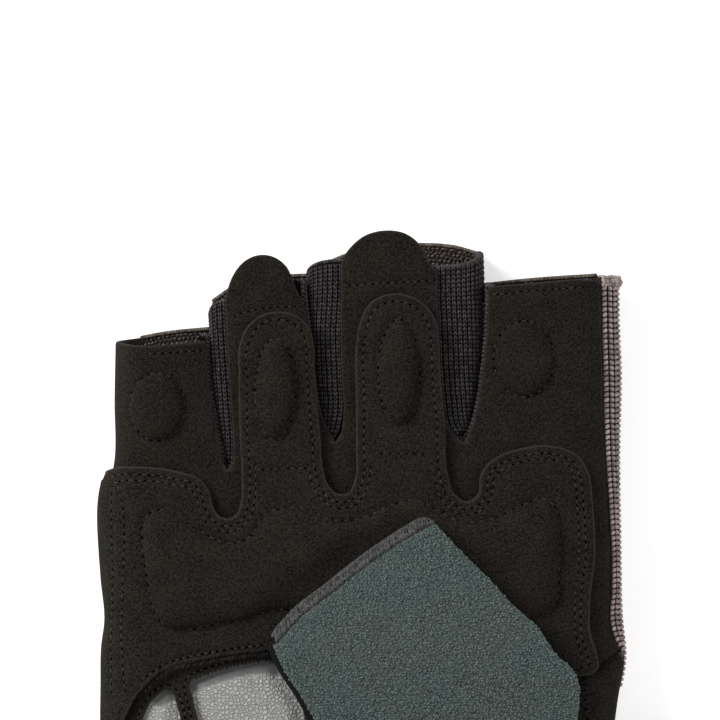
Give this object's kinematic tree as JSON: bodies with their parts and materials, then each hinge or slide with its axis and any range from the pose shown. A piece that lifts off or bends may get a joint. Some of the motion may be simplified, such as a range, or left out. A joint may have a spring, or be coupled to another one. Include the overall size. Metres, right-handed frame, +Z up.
{
  "type": "weightlifting glove",
  "caption": "Half-finger weightlifting glove, palm up, with padded suede palm, knitted finger sides and back, finger pull tabs and a fleece wrist strap folded over the palm.",
  "frame": {"origin": "on the flat underside of the back of the hand, at the middle of the palm", "axes": "+Y towards the fingertips, +Z up out of the palm, +X towards the thumb side"},
  "size_m": [0.1294, 0.1559, 0.0284],
  "materials": {
    "suede": "matte synthetic suede",
    "suede_overlay": "matte synthetic suede",
    "dark_knit": "ribbed stretch knit",
    "grey_knit": "open knit",
    "pale_inset": "pebbled, puffed",
    "binding": "woven binding",
    "strap_backing": "smooth black fabric",
    "strap_fleece": "brushed loop fleece",
    "edging_thread": "overlocked thread",
    "hook": "moulded hooks"
  },
  "bodies": {
    "root": {"palm_panel": "suede", "palm_overlay": "suede_overlay", "palm_pad": "suede_overlay", "finger_pad_pinky": "suede", "finger_pad_ring": "suede_overlay", "finger_pad_middle": "suede_overlay", "finger_pad_index": "suede", "fourchette_pinky_ring": "dark_knit", "fourchette_ring_middle": "dark_knit", "fourchette_middle_index": "dark_knit", "back_panel": "grey_knit", "grip_inset_outer": "pale_inset", "grip_inset_inner": "pale_inset", "thumb_palm": "suede", "thumb_back": "grey_knit", "cuff_binding": "binding", "strap_backing": "strap_backing", "strap_loop_face": "strap_fleece", "strap_end_edging": "edging_thread", "hook_patch": "hook"}
  },
  "joints": []
}
